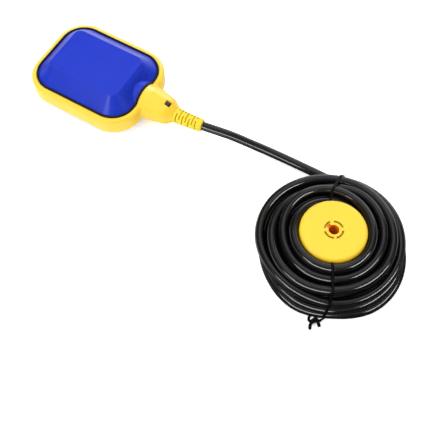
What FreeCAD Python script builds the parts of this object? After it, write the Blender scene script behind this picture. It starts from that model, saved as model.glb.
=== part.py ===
import FreeCAD, Part
import math
import os
import re

import Sketcher

# Cable float switch: a blue two-part float in a yellow belt with a round neck,
# a lead that leaves through a slotted bend relief, the lead's coil with two
# twist ties, and the counterweight that stands in the coil.
# Millimetres. Origin: on the floor under the middle of the float, which lies
# on its lower panel. +X points along the neck to the lead, +Z up.

V = FreeCAD.Vector
doc = FreeCAD.newDocument("float_switch")
sheet = doc.addObject("Spreadsheet::Sheet", "Dims")

CELLS = [
    # float
    ("belt_len", 102.0), ("belt_wid", 81.0), ("belt_rad", 24.5),
    ("belt_low", 12.0), ("belt_high", 28.0), ("belt_round", 2.4),
    ("rim_len", 93.0), ("rim_wid", 72.0), ("rim_rad", 20.0),
    ("lid_len", 90.2), ("lid_wid", 69.2), ("lid_rad", 18.6),
    ("panel_len", 66.0), ("panel_wid", 44.2), ("panel_rad", 6.0),
    ("mid_z", 20.0), ("top_z", 40.0), ("shell_wall", 2.0), ("panel_round", 1.6),
    ("seal_proud", 0.45), ("pass_rad", 9.0),
    # neck
    ("neck_in_x", 40.0), ("neck_root_x", 54.0), ("neck_root_rad", 14.3),
    ("neck_mid_x", 70.7), ("neck_mid_rad", 10.9),
    ("neck_end_x", 76.4), ("neck_end_rad", 6.3), ("neck_round", 8.0), ("neck_fillet", 2.5), ("rim_round", 0.9),
    ("cover_fillet", 2.0),
    ("bore_big", 10.8), ("bore_big_x", 58.0), ("bore_small", 8.6),
    ("bore_small_x", 73.4), ("bore_exit", 5.0),
    ("window", 4.8), ("window_x", 69.4), ("nub", 2.5), ("nub_top", 10.0),
    # bend relief
    ("boot_rad_a", 6.25), ("boot_rad_b", 5.3), ("boot_end_x", 102.0),
    ("boot_flange_x", 71.4), ("boot_flange_rad", 7.6),
    ("slot_wide", 1.3), ("slot_pitch", 3.05), ("slot_first_x", 79.6),
    ("slot_floor", 4.25), ("slot_half", 4.3),
    # lead
    ("cable_rad", 3.65), ("core_rad", 1.1), ("core_ring", 2.2), ("jacket_end_x", 49.0), ("entry_end_x", 88.0),
    # cord grip
    ("clamp_x", 50.0), ("clamp_len", 7.0), ("clamp_half_y", 8.0),
    ("clamp_half_z", 7.0), ("clamp_gap", 0.4), ("clamp_screw_y", 5.9),
    # ball and track
    ("ball_rad", 9.0), ("ball_x", -20.0), ("ball_y", 9.0), ("ball_z", 13.3),
    ("ball_travel", 24.0), ("track_gap", 0.4), ("plate_z", 2.0), ("plate_thick", 2.0),
    ("plate_half_x", 30.5), ("plate_half_y", 19.5), ("wall_thick", 1.1),
    ("stop_thick", 4.6), ("cover_thick", 1.5),
    # lever
    ("lever_x", -14.0), ("lever_y", -2.2), ("lever_deg", 7.0), ("lever_gap", 0.25),
    ("lever_half", 3.0), ("pin_rad", 0.8), ("pin_play", 0.05), ("lever_boss", 1.55),
    # microswitch
    ("case_x", -16.0), ("case_len", 27.8), ("case_top_y", -4.2), ("case_high", 15.9),
    ("case_low_z", 8.15), ("case_wide", 10.3), ("case_wall", 1.5), ("cover_wall", 1.5),
    ("hole_a_x", -10.8), ("hole_a_y", -14.3), ("hole_b_x", 8.4), ("hole_b_y", -9.6), ("island_rad", 2.2),
    ("switch_screw_rad", 1.25),
    ("plunger_x", -7.0), ("plunger_rad", 1.3), ("plunger_play", 0.05),
    ("plunger_tip_y", -3.0), ("plunger_foot_y", -8.05),
    ("blade_pivot_x", -13.25), ("heel_rad", 0.4), ("blade_y", -8.4), ("blade_thick", 0.4),
    ("blade_wide", 4.0), ("contact_x", 2.0), ("contact_rad", 1.4),
    ("term_wide", 2.8), ("term_thick", 0.5), ("term_out_x", 18.3),
    ("closed_y", -7.0), ("open_y", -12.2), ("common_y", -17.95),
    ("sleeve_x", 14.0), ("sleeve_len", 10.0), ("sleeve_half_y", 1.6), ("sleeve_half_z", 2.2),
    # counterweight
    ("weight_x", 237.2), ("weight_y", -37.7), ("weight_rad", 25.3), ("weight_high", 36.0),
    ("weight_foot_rad", 21.5), ("weight_taper", 9.0), ("weight_wall", 2.0),
    ("weight_top", 3.0), ("weight_round", 2.8), ("weight_bore", 4.0), ("weight_tube", 5.8),
    ("clip_in", 6.0), ("clip_out", 7.6), ("clip_gap", 3.4), ("clip_gap_deg", 169.0),
    # coil and ties
    ("coil_in", 27.4), ("coil_out", 57.5), ("coil_shoulder_rad", 53.0), ("coil_shoulder_z", 21.4),
    ("coil_side_z", 13.0), ("coil_bulge_rad", 56.2), ("coil_bulge_z", 18.8),
    ("coil_top_rad", 31.5), ("coil_top_z", 33.2), ("coil_lip_z", 31.4),
    ("tie_thick", 1.0), ("tie_wide", 2.0), ("tie_front_deg", -64.0), ("tie_back_deg", 119.0),
    ("lead_arc_deg", 58.0), ("lead_start_deg", -2.0), ("tip_arc_deg", 14.0),
]
for i, (alias, value) in enumerate(CELLS):
    row = str(i + 1)
    sheet.set("A" + row, alias)
    sheet.set("B" + row, repr(value))
    sheet.setAlias("B" + row, alias)
doc.recompute()

ALIASES = set(a for a, v in CELLS)


def val(alias):
    return float(sheet.get(alias))


def ex(text):
    """An expression on the sheet's cells, from their bare names."""
    return re.sub(r"[a-z_]+", lambda m: "Dims." + m.group(0) if m.group(0) in ALIASES else m.group(0), str(text))


def bind(obj, prop, text):
    obj.setExpression(prop, ex(text))


ROT = {
    "z": FreeCAD.Rotation(),
    "x": FreeCAD.Rotation(V(0, 1, 0), 90),
    "y": FreeCAD.Rotation(V(1, 0, 0), -90),
}


def place(obj, x, y, z, rot=None):
    obj.Placement = FreeCAD.Placement(V(0, 0, 0), rot or FreeCAD.Rotation())
    bind(obj, "Placement.Base.x", x)
    bind(obj, "Placement.Base.y", y)
    bind(obj, "Placement.Base.z", z)
    return obj


def box(name, lx, ly, lz, x, y, z):
    o = doc.addObject("Part::Box", name)
    bind(o, "Length", lx)
    bind(o, "Width", ly)
    bind(o, "Height", lz)
    return place(o, x, y, z)


def cyl(name, rad, high, x, y, z, axis="z"):
    o = doc.addObject("Part::Cylinder", name)
    bind(o, "Radius", rad)
    bind(o, "Height", high)
    return place(o, x, y, z, ROT[axis])


def ball(name, rad, x, y, z):
    o = doc.addObject("Part::Sphere", name)
    bind(o, "Radius", rad)
    return place(o, x, y, z)


def cut(name, base, *tools):
    o = doc.addObject("Part::Cut", name)
    o.Base = base
    o.Tool = tools[0] if len(tools) == 1 else fuse(name + "_tools", *tools)
    return o


def fuse(name, *shapes):
    o = doc.addObject("Part::MultiFuse", name)
    o.Shapes = list(shapes)
    return o


def common(name, *shapes):
    o = doc.addObject("Part::MultiCommon", name)
    o.Shapes = list(shapes)
    return o


NODES = []


def node(obj, label):
    obj.Label = label
    NODES.append((label, obj))
    return obj


def plane(body, role):
    for f in body.Origin.OriginFeatures:
        if f.Role == role:
            return f


def sketch(body, name, role, off=None):
    sk = body.newObject("Sketcher::SketchObject", name)
    sk.AttachmentSupport = [(plane(body, role), "")]
    sk.MapMode = "FlatFace"
    if off:
        for axis, text in off.items():
            bind(sk, "AttachmentOffset.Base." + axis, text)
    return sk


def named(sk, con, name, text):
    i = sk.addConstraint(con)
    sk.renameConstraint(i, name)
    bind(sk, "Constraints." + name, text)


def round_rect(sk, length, width, rad, nl, nw, nr):
    """Rounded rectangle about the sketch's origin; nl, nw, nr are starting numbers."""
    a, b, r = nl / 2, nw / 2, nr
    zz = V(0, 0, 1)
    g = [
        Part.LineSegment(V(-a + r, -b, 0), V(a - r, -b, 0)),
        Part.ArcOfCircle(Part.Circle(V(a - r, -b + r, 0), zz, r), -math.pi / 2, 0),
        Part.LineSegment(V(a, -b + r, 0), V(a, b - r, 0)),
        Part.ArcOfCircle(Part.Circle(V(a - r, b - r, 0), zz, r), 0, math.pi / 2),
        Part.LineSegment(V(a - r, b, 0), V(-a + r, b, 0)),
        Part.ArcOfCircle(Part.Circle(V(-a + r, b - r, 0), zz, r), math.pi / 2, math.pi),
        Part.LineSegment(V(-a, b - r, 0), V(-a, -b + r, 0)),
        Part.ArcOfCircle(Part.Circle(V(-a + r, -b + r, 0), zz, r), math.pi, 1.5 * math.pi),
    ]
    sk.addGeometry(g, False)
    for i in range(8):
        sk.addConstraint(Sketcher.Constraint("Tangent", i, 2, (i + 1) % 8, 1))
    for i in (0, 4):
        sk.addConstraint(Sketcher.Constraint("Horizontal", i))
    for i in (2, 6):
        sk.addConstraint(Sketcher.Constraint("Vertical", i))
    for i in (3, 5, 7):
        sk.addConstraint(Sketcher.Constraint("Equal", 1, i))
    sk.addConstraint(Sketcher.Constraint("Symmetric", 1, 3, 5, 3, -1, 1))
    named(sk, Sketcher.Constraint("Radius", 1, r), "corner", rad)
    named(sk, Sketcher.Constraint("DistanceX", 6, 1, 2, 1, nl), "length", length)
    named(sk, Sketcher.Constraint("DistanceY", 0, 1, 4, 1, nw), "width", width)


def rect_nums(kind, inset=0.0):
    return (val(kind + "_len") - 2 * inset, val(kind + "_wid") - 2 * inset, val(kind + "_rad") - inset)


def poly_sketch(sk, pts):
    """Closed outline; every corner is held by two dimensions bound to the sheet.
    pts: list of (x text, y text) in the sketch's own axes."""
    num = [(float(doc_eval(x)), float(doc_eval(y))) for x, y in pts]
    n = len(num)
    for i in range(n):
        p, q = num[i], num[(i + 1) % n]
        sk.addGeometry(Part.LineSegment(V(p[0], p[1], 0), V(q[0], q[1], 0)), False)
    for i in range(n):
        sk.addConstraint(Sketcher.Constraint("Coincident", i, 2, (i + 1) % n, 1))
    for i in range(n):
        for axis, k, kind in (("x", 0, "DistanceX"), ("y", 1, "DistanceY")):
            if abs(num[i][k]) < 1e-9:
                sk.addConstraint(Sketcher.Constraint("PointOnObject", i, 1, -2 if k == 0 else -1))
            else:
                named(sk, Sketcher.Constraint(kind, -1, 1, i, 1, num[i][k]), "corner_%s_%s" % (axis, chr(97 + i)), pts[i][k])


def doc_eval(text):
    return float(sheet.evalExpression(ex(text)))


def revolve(body, name, role, pts, axis="V_Axis", off=None, cutting=False, angle=360.0):
    sk = sketch(body, name + "_outline", role, off)
    poly_sketch(sk, pts)
    f = body.newObject("PartDesign::Groove" if cutting else "PartDesign::Revolution", name)
    f.Profile = sk
    f.ReferenceAxis = (sk, [axis])
    f.Angle = angle
    return f


def pad(body, name, sk, length, reverse=False):
    f = body.newObject("PartDesign::Pad", name)
    f.Profile = sk
    bind(f, "Length", length)
    f.Reversed = reverse
    return f


def pocket(body, name, sk, length, reverse=False):
    f = body.newObject("PartDesign::Pocket", name)
    f.Profile = sk
    bind(f, "Length", length)
    f.Reversed = reverse
    return f


def edges_where(shape, test):
    return ["Edge%d" % (i + 1) for i, e in enumerate(shape.Edges) if test(e)]


def tube_path(points):
    """Straight runs joined by tangent arcs, each as large as its runs allow."""
    pts = [V(*p) for p in points]
    edges, radii = [], []
    last = pts[0]
    for a, b, c in zip(pts, pts[1:], pts[2:]):
        u, w = b - a, c - b
        short = min(u.Length, w.Length)
        turn = u.getAngle(w)
        t = 0.45 * short
        radii.append(t / math.tan(turn / 2))
        u.normalize()
        w.normalize()
        p, q = b - u * t, b + w * t
        mid_dir = w - u
        mid_dir.normalize()
        rad = radii[-1]
        mid = b + mid_dir * (rad / math.cos(turn / 2) - rad)
        edges.append(Part.LineSegment(last, p).toShape())
        edges.append(Part.Arc(p, mid, q).toShape())
        last = q
    edges.append(Part.LineSegment(last, pts[-1]).toShape())
    return Part.Wire(edges), radii


def tube(name, points, rad):
    wire, radii = tube_path(points)
    start = V(*points[1]) - V(*points[0])
    ring = Part.Wire([Part.Circle(V(*points[0]), start, rad).toShape()])
    shape = wire.makePipeShell([ring], True, False)
    if shape.ShapeType != "Solid":
        shape = shape.Solids[0]
    want = math.pi * rad * rad * wire.Length
    print("%s: length %.1f, tightest radius %.1f, volume %.4f of section x length"
          % (name, wire.Length, min(radii) if radii else 0, shape.Volume / want))
    o = doc.addObject("Part::Feature", name)
    o.Shape = shape
    o.Placement = FreeCAD.Placement()
    return o


# ---------------------------------------------------------------- float shells
def make_shell():
    body = doc.addObject("PartDesign::Body", "shell_body")
    s0 = sketch(body, "skirt_outline", "XY_Plane", {"z": "belt_high"})
    round_rect(s0, "lid_len", "lid_wid", "lid_rad", *rect_nums("lid"))
    pad(body, "skirt", s0, "belt_high - mid_z", True)
    s1 = sketch(body, "dome_foot", "XY_Plane", {"z": "belt_high"})
    round_rect(s1, "lid_len", "lid_wid", "lid_rad", *rect_nums("lid"))
    s2 = sketch(body, "dome_panel", "XY_Plane", {"z": "top_z"})
    round_rect(s2, "panel_len", "panel_wid", "panel_rad", *rect_nums("panel"))
    dome = body.newObject("PartDesign::AdditiveLoft", "dome")
    dome.Profile = s1
    dome.Sections = [s2]
    dome.Ruled = True
    doc.recompute()
    z1 = val("top_z")
    f = body.newObject("PartDesign::Fillet", "panel_edge")
    f.Base = (dome, edges_where(dome.Shape, lambda e: all(abs(v.Point.z - z1) < 1e-6 for v in e.Vertexes)))
    bind(f, "Radius", "panel_round")
    # half-round swelling over the root of the neck
    s3 = sketch(body, "neck_cover_round", "YZ_Plane", {"z": "neck_in_x - 8", "y": "mid_z"})
    s3.addGeometry(Part.Circle(V(0, 0, 0), V(0, 0, 1), val("neck_root_rad")), False)
    s3.addConstraint(Sketcher.Constraint("Coincident", 0, 3, -1, 1))
    named(s3, Sketcher.Constraint("Radius", 0, val("neck_root_rad")), "round_size", "neck_root_rad")
    cover = pad(body, "neck_cover", s3, "lid_len / 2 - neck_in_x + 8")
    doc.recompute()
    reach = val("neck_root_rad")
    f = body.newObject("PartDesign::Fillet", "neck_cover_foot")
    f.Base = (cover, edges_where(cover.Shape, lambda e: e.Curve.TypeId == "Part::GeomBSplineCurve" and e.BoundBox.XMin > val("panel_len") / 2 + 2
                                 and e.BoundBox.YMax < reach and e.BoundBox.YMin > -reach))
    bind(f, "Radius", "cover_fillet")
    # hollow
    w = val("shell_wall")
    h0 = sketch(body, "hollow_skirt_outline", "XY_Plane", {"z": "belt_high"})
    round_rect(h0, "lid_len - 2 * shell_wall", "lid_wid - 2 * shell_wall", "lid_rad - shell_wall", *rect_nums("lid", w))
    pocket(body, "hollow_skirt", h0, "belt_high - mid_z + 16")
    h1 = sketch(body, "hollow_foot", "XY_Plane", {"z": "belt_high"})
    round_rect(h1, "lid_len - 2 * shell_wall", "lid_wid - 2 * shell_wall", "lid_rad - shell_wall", *rect_nums("lid", w))
    h2 = sketch(body, "hollow_panel", "XY_Plane", {"z": "top_z - shell_wall"})
    round_rect(h2, "panel_len - 2 * shell_wall", "panel_wid - 2 * shell_wall", "panel_rad - shell_wall", *rect_nums("panel", w))
    hollow = body.newObject("PartDesign::SubtractiveLoft", "hollow_dome")
    hollow.Profile = h1
    hollow.Sections = [h2]
    hollow.Ruled = True
    s4 = sketch(body, "neck_hollow_round", "YZ_Plane", {"z": "lid_len / 2 - shell_wall", "y": "mid_z"})
    s4.addGeometry(Part.Circle(V(0, 0, 0), V(0, 0, 1), val("neck_root_rad") - w), False)
    s4.addConstraint(Sketcher.Constraint("Coincident", 0, 3, -1, 1))
    named(s4, Sketcher.Constraint("Radius", 0, val("neck_root_rad") - w), "round_size", "neck_root_rad - shell_wall")
    pocket(body, "neck_hollow", s4, "lid_len / 2 - shell_wall - neck_in_x + 12")
    # way through the end wall for the cores
    s5 = sketch(body, "pass_round", "YZ_Plane", {"z": "lid_len / 2", "y": "mid_z"})
    s5.addGeometry(Part.Circle(V(0, 0, 0), V(0, 0, 1), val("pass_rad")), False)
    s5.addConstraint(Sketcher.Constraint("Coincident", 0, 3, -1, 1))
    named(s5, Sketcher.Constraint("Radius", 0, val("pass_rad")), "round_size", "pass_rad")
    pocket(body, "pass_through", s5, "shell_wall * 2")
    # nothing of this half below the middle
    s6 = sketch(body, "lower_half", "XY_Plane", {"z": "mid_z"})
    round_rect(s6, "belt_len", "belt_wid", "belt_rad", *rect_nums("belt"))
    pocket(body, "lower_off", s6, "mid_z")
    return body


shell = node(make_shell(), "upper_shell")
mirror = doc.addObject("Part::Mirroring", "shell_mirror")
mirror.Source = shell
mirror.Normal = V(0, 0, 1)
bind(mirror, "Base.z", "mid_z")
node(mirror, "lower_shell")

# ---------------------------------------------------------------- belt and neck
body = doc.addObject("PartDesign::Body", "belt_body")
sk = sketch(body, "belt_outline", "XY_Plane", {"z": "belt_low"})
round_rect(sk, "belt_len", "belt_wid", "belt_rad", *rect_nums("belt"))
belt = pad(body, "belt", sk, "belt_high - belt_low")
doc.recompute()
zs = (val("belt_low"), val("belt_high"))
f = body.newObject("PartDesign::Fillet", "belt_edges")
f.Base = (belt, edges_where(belt.Shape, lambda e: any(all(abs(v.Point.z - z) < 1e-6 for v in e.Vertexes) for z in zs)))
bind(f, "Radius", "belt_round")
doc.recompute()
# the neck: a straight root, a taper and a round shoulder down to the bend relief
neck_pts = [("neck_in_x", "0"), ("neck_in_x", "neck_root_rad"), ("neck_root_x", "neck_root_rad"),
            ("neck_mid_x", "neck_mid_rad"), ("neck_end_x", "neck_end_rad"), ("neck_end_x", "0")]
neck = revolve(body, "neck", "XZ_Plane", neck_pts, "H_Axis", {"y": "mid_z"})
doc.recompute()
end_face, side_y = val("belt_len") / 2, math.sqrt(val("neck_root_rad") ** 2 - (val("belt_high") - val("mid_z")) ** 2)


def neck_root_edge(e):
    c, b = e.CenterOfMass, e.BoundBox
    if e.Curve.TypeId == "Part::GeomCircle":
        return abs(b.XMin - end_face) < 1e-3 and abs(b.XMax - end_face) < 1e-3
    if e.Curve.TypeId == "Part::GeomLine":
        return abs(abs(c.y) - side_y) < 0.01 and val("neck_in_x") < c.x < end_face
    return e.Curve.TypeId == "Part::GeomBSplineCurve"


f = body.newObject("PartDesign::Fillet", "neck_root_fillet")
f.Base = (neck, edges_where(neck.Shape, neck_root_edge))
bind(f, "Radius", "neck_fillet")
doc.recompute()
g = body.newObject("PartDesign::Fillet", "neck_shoulder")
g.Base = (f, edges_where(f.Shape, lambda e: e.Curve.TypeId == "Part::GeomCircle" and abs(e.CenterOfMass.x - val("neck_mid_x")) < 1e-3))
bind(g, "Radius", "neck_round")
doc.recompute()
sk = sketch(body, "rim_outline", "XY_Plane", {"z": "top_z"})
round_rect(sk, "rim_len", "rim_wid", "rim_rad", *rect_nums("rim"))
rim = pocket(body, "rim_opening", sk, "top_z")
doc.recompute()


def rim_edge(e):
    """Edges of the opening, apart from those that run straight up."""
    a, b, r = rect_nums("rim")
    if e.BoundBox.XLength < 1e-6 and e.BoundBox.YLength < 1e-6:
        return False
    for k in range(5):
        q = e.valueAt(e.FirstParameter + (e.LastParameter - e.FirstParameter) * k / 4)
        dx, dy = abs(q.x) - (a / 2 - r), abs(q.y) - (b / 2 - r)
        gap = math.hypot(dx, dy) - r if dx > 0 and dy > 0 else max(dx, dy) - r
        if abs(gap) > 1e-3:
            return False
    return True


f = body.newObject("PartDesign::Fillet", "rim_lip")
f.Base = (rim, edges_where(rim.Shape, rim_edge))
bind(f, "Radius", "rim_round")
doc.recompute()
v0 = body.Shape.Volume
bore_pts = [("neck_in_x", "0"), ("neck_in_x", "bore_big"), ("bore_big_x", "bore_big"), ("bore_big_x", "bore_small"),
            ("bore_small_x", "bore_small"), ("bore_small_x", "bore_exit"), ("neck_end_x + 1", "bore_exit"), ("neck_end_x + 1", "0")]
revolve(body, "neck_bore", "XZ_Plane", bore_pts, "H_Axis", {"y": "mid_z"}, cutting=True)
sk = sketch(body, "window_outline", "XY_Plane", {"z": "top_z"})
poly_sketch(sk, [("window_x - window / 2", "-window / 2"), ("window_x + window / 2", "-window / 2"),
                 ("window_x + window / 2", "window / 2"), ("window_x - window / 2", "window / 2")])
pocket(body, "window_cut", sk, "top_z - mid_z - 4")
doc.recompute()
print("neck bore and window took", round(v0 - body.Shape.Volume, 1), "mm3")
node(body, "belt_frame")


# ---------------------------------------------------------------- seals
def ring_body(name, low, high):
    b = doc.addObject("PartDesign::Body", name)
    s = sketch(b, name + "_outer", "XY_Plane", {"z": low})
    round_rect(s, "rim_len", "rim_wid", "rim_rad", *rect_nums("rim"))
    pad(b, name + "_band", s, "(%s) - (%s)" % (high, low))
    s = sketch(b, name + "_inner", "XY_Plane", {"z": high})
    round_rect(s, "lid_len", "lid_wid", "lid_rad", *rect_nums("lid"))
    pocket(b, name + "_open", s, "(%s) - (%s)" % (high, low))
    return b


seal_x = "lid_len / 2"
seal_t = "rim_len / 2 - lid_len / 2"
for side, low, high, keep in (("upper", "mid_z", "belt_high + seal_proud", "mid_z"),
                              ("lower", "belt_low - seal_proud", "mid_z", "mid_z - 18")):
    band = ring_body(side + "_seal_ring", low, high)
    disc = cyl(side + "_seal_disc", "neck_root_rad + seal_proud", seal_t, seal_x, "0", "mid_z", "x")
    half = box(side + "_seal_half", "8", "40", "18", "lid_len / 2 - 3", "-20", keep)
    arch = common(side + "_seal_arch", disc, half)
    whole = fuse(side + "_seal_whole", band, arch)
    hole = cyl(side + "_seal_pass", "pass_rad", "8", "lid_len / 2 - 3", "0", "mid_z", "x")
    doc.recompute()
    foot = doc.addObject("Part::Fillet", side + "_seal_foot")
    foot.Base = whole
    foot_rad = val("neck_fillet") - val("seal_proud")
    arch_y = math.sqrt((val("neck_root_rad") + val("seal_proud")) ** 2 - (val("belt_high") + val("seal_proud") - val("mid_z")) ** 2)
    foot.Edges = [(i + 1, foot_rad, foot_rad) for i, e in enumerate(whole.Shape.Edges)
                  if e.Curve.TypeId == "Part::GeomLine" and abs(abs(e.CenterOfMass.y) - arch_y) < 0.02 and e.BoundBox.YLength < 1e-3
                  and e.BoundBox.ZLength < 1e-3]
    node(cut(side + "_seal_cut", foot, hole), side + "_seal")

# ---------------------------------------------------------------- bend relief
body = doc.addObject("PartDesign::Body", "boot_body")
boot_pts = [("boot_flange_x", "cable_rad"), ("boot_flange_x", "boot_flange_rad"), ("bore_small_x", "boot_flange_rad"),
            ("bore_small_x", "bore_exit"), ("neck_end_x", "bore_exit"), ("neck_end_x", "boot_rad_a"),
            ("slot_first_x - slot_wide", "boot_rad_a"),
            ("boot_end_x - 0.9", "boot_rad_b"), ("boot_end_x - 0.25", "boot_rad_b - 0.3"), ("boot_end_x", "boot_rad_b - 0.9"),
            ("boot_end_x", "cable_rad")]
revolve(body, "boot", "XZ_Plane", boot_pts, "H_Axis", {"y": "mid_z"})
slots = []
for i in range(7):
    x = "slot_first_x + %d * slot_pitch - slot_wide / 2" % i
    for sgn in (1, -1):
        if i % 2 == 0:
            y = "slot_floor" if sgn > 0 else "-slot_floor - 4"
            slots.append(box("slot_%d_%s" % (i, "a" if sgn > 0 else "b"), "slot_wide", "4", "2 * slot_half", x, y, "mid_z - slot_half"))
        else:
            z = "mid_z + slot_floor" if sgn > 0 else "mid_z - slot_floor - 4"
            slots.append(box("slot_%d_%s" % (i, "a" if sgn > 0 else "b"), "slot_wide", "2 * slot_half", "4", x, "-slot_half", z))
node(cut("boot_slotted", body, *slots), "bend_relief")

# ---------------------------------------------------------------- inside the neck
ring = cyl("collet_ring", "bore_small", "boot_flange_x - 64", "64", "0", "mid_z", "x")
nub = box("collet_nub", "nub", "nub", "nub_top - 6", "window_x - nub / 2", "-nub / 2", "mid_z + 6")
hole = cyl("collet_hole", "cable_rad", "12", "63", "0", "mid_z", "x")
node(cut("collet", fuse("collet_whole", ring, nub), hole), "neck_sleeve")

node(cut("gland", cyl("gland_ring", "bore_small", "64 - bore_big_x", "bore_big_x", "0", "mid_z", "x"),
         cyl("gland_hole", "cable_rad", "8", "bore_big_x - 1", "0", "mid_z", "x")), "cable_gland")

for side in ("lower", "upper"):
    z0 = "mid_z - clamp_half_z" if side == "lower" else "mid_z + clamp_gap"
    block = box("grip_block_" + side, "clamp_len", "2 * clamp_half_y", "clamp_half_z - clamp_gap", "clamp_x", "-clamp_half_y", z0)
    tools = [cyl("grip_cable_" + side, "cable_rad", "clamp_len + 2", "clamp_x - 1", "0", "mid_z", "x")]
    for j, sgn in enumerate(("", "-")):
        tools.append(cyl("grip_hole_%s_%d" % (side, j), "1.2", "20", "clamp_x + clamp_len / 2", sgn + "clamp_screw_y", "mid_z - 5.5"))
        if side == "upper":
            tools.append(cyl("grip_seat_%d" % j, "2.0", "3", "clamp_x + clamp_len / 2", sgn + "clamp_screw_y", "mid_z + clamp_half_z - 1.5"))
    node(cut("grip_" + side, block, *tools), "clamp_" + side)

screws = []
for j, sgn in enumerate(("", "-")):
    shank = cyl("grip_shank_%d" % j, "1.2", "5.5 + clamp_half_z - 1.5", "clamp_x + clamp_len / 2", sgn + "clamp_screw_y", "mid_z - 5.5")
    head = cyl("grip_head_%d" % j, "2.0", "1.5", "clamp_x + clamp_len / 2", sgn + "clamp_screw_y", "mid_z + clamp_half_z - 1.5")
    slot = box("grip_slot_%d" % j, "5", "0.6", "0.7", "clamp_x + clamp_len / 2 - 2.5", "%s clamp_screw_y - 0.3" % sgn, "mid_z + clamp_half_z - 0.7")
    screws.append(cut("grip_screw_%d" % j, fuse("grip_screw_whole_%d" % j, shank, head), slot))
node(fuse("grip_screws", *screws), "clamp_screws")

CORE_YZ = {"closed": (0.87, -0.5), "open": (0.0, 1.0), "common": (-0.87, -0.5)}
plug = cyl("plug_round", "pass_rad", "jacket_end_x - (lid_len / 2 - shell_wall)", "lid_len / 2 - shell_wall", "0", "mid_z", "x")
holes = [cyl("plug_hole_" + n, "core_rad", "12", "lid_len / 2 - shell_wall - 3", "%g * core_ring" % yz[0], "mid_z + %g * core_ring" % yz[1], "x")
         for n, yz in CORE_YZ.items()]
node(cut("plug", plug, *holes), "potting_plug")

node(cyl("entry", "cable_rad", "entry_end_x - jacket_end_x", "jacket_end_x", "0", "mid_z", "x"), "cable_entry")

# ---------------------------------------------------------------- ball and its track
wall_y = "ball_y + ball_rad + track_gap"
stop_x = "ball_x + ball_travel + ball_rad + track_gap"
wall_h = "ball_z + ball_rad + track_gap - plate_z - plate_thick"
plate = fuse("tray_plate",
             box("tray_plate_long", "2 * plate_half_x", "2 * plate_half_y - 4", "plate_thick", "-plate_half_x", "2 - plate_half_y", "plate_z"),
             box("tray_plate_wide", "2 * plate_half_x - 4", "2 * plate_half_y", "plate_thick", "2 - plate_half_x", "-plate_half_y", "plate_z"))
side_wall = box("tray_side", "(%s) + stop_thick + plate_half_x" % stop_x, "plate_half_y - (%s)" % wall_y, wall_h,
                "-plate_half_x", wall_y, "plate_z + plate_thick")
back_stop = box("tray_back", "ball_x - ball_rad - track_gap + plate_half_x", "plate_half_y - 2.0", wall_h,
                "-plate_half_x", "2.0", "plate_z + plate_thick")
front_stop = box("tray_front", "stop_thick", "plate_half_y - 2.0", wall_h, stop_x, "2.0", "plate_z + plate_thick")
rail = box("tray_rail", "(%s) + plate_half_x" % stop_x, "1.8", "3.0", "-plate_half_x", "0.4", "plate_z + plate_thick")
posts = []
for n in ("a", "b"):
    posts.append(cyl("tray_post_" + n, "2.6", "case_low_z - plate_z - plate_thick", "hole_%s_x" % n, "hole_%s_y" % n, "plate_z + plate_thick"))
tray = fuse("tray_whole", plate, side_wall, back_stop, front_stop, rail, *posts)
tools = [cyl("tray_screw_" + n, "switch_screw_rad", "12", "hole_%s_x" % n, "hole_%s_y" % n, "plate_z + plate_thick + 0.2") for n in ("a", "b")]
tools.append(cyl("tray_cover_screw", "1.1", "12", "(%s) + stop_thick / 2" % stop_x, "ball_y + 2", "ball_z + ball_rad + track_gap - 7"))
node(cut("tray", tray, *tools), "switch_carrier")

cover_z = "ball_z + ball_rad + track_gap"
lid = box("track_lid", "(%s) + stop_thick + plate_half_x" % stop_x, "plate_half_y - 2.0", "cover_thick", "-plate_half_x", "2.0", cover_z)
node(cut("track_lid_cut", lid, cyl("track_lid_hole", "1.1", "6", "(%s) + stop_thick / 2" % stop_x, "ball_y + 2", "ball_z + ball_rad")), "ball_cover")
shank = cyl("lid_screw_shank", "1.1", "cover_thick + 7", "(%s) + stop_thick / 2" % stop_x, "ball_y + 2", cover_z + " - 7")
head = cyl("lid_screw_head", "2.1", "1.4", "(%s) + stop_thick / 2" % stop_x, "ball_y + 2", cover_z + " + cover_thick")
slot = box("lid_screw_slot", "5", "0.6", "0.8", "(%s) + stop_thick / 2 - 2.5" % stop_x, "ball_y + 1.7", cover_z + " + cover_thick + 0.7")
node(cut("lid_screw", fuse("lid_screw_whole", shank, head), slot), "cover_screw")
node(ball("ball_round", "ball_rad", "ball_x", "ball_y", "ball_z"), "steel_ball")

# ---------------------------------------------------------------- lever
# Its upper edge is the offset of the ball's path as the turning lever sees it,
# so the ball keeps the same small gap to it from one end of its roll to the other.
hx, hy = val("lever_x"), val("lever_y")
reach = val("ball_rad") + val("lever_gap")
turn = math.radians(val("lever_deg"))
path = []
STEPS = 48
for i in range(STEPS + 1):
    s = i / STEPS
    bx, by = val("ball_x") + s * val("ball_travel") - hx, val("ball_y") - hy
    c, w = math.cos(s * turn), math.sin(s * turn)
    path.append((bx * c - by * w, bx * w + by * c))
top = []
for i in range(1, STEPS):
    dx, dy = path[i + 1][0] - path[i - 1][0], path[i + 1][1] - path[i - 1][1]
    n = math.hypot(dx, dy)
    top.append((path[i][0] + dy / n * reach, path[i][1] - dx / n * reach))
top = [p for p in top if p[0] > 0.6]
end_x = top[-1][0] + 0.9
slope = math.radians(val("lever_deg") + 1.0)
low = lambda x: -1.2 + (x - 3.0) * math.tan(slope)
tip = top[-1]
outline = [(0.6, top[0][1] - 0.05)] + top + [(end_x, tip[1] - 0.25), (end_x + 0.3, tip[1] - 1.2), (end_x, low(end_x)), (3.0, low(3.0)), (0.6, -1.2)]
z0, hz = val("ball_z") - val("lever_half"), 2 * val("lever_half")
face = Part.Face(Part.makePolygon([V(hx + x, hy + y, z0) for x, y in outline + outline[:1]]))
arm = face.extrude(V(0, 0, hz))
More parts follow.
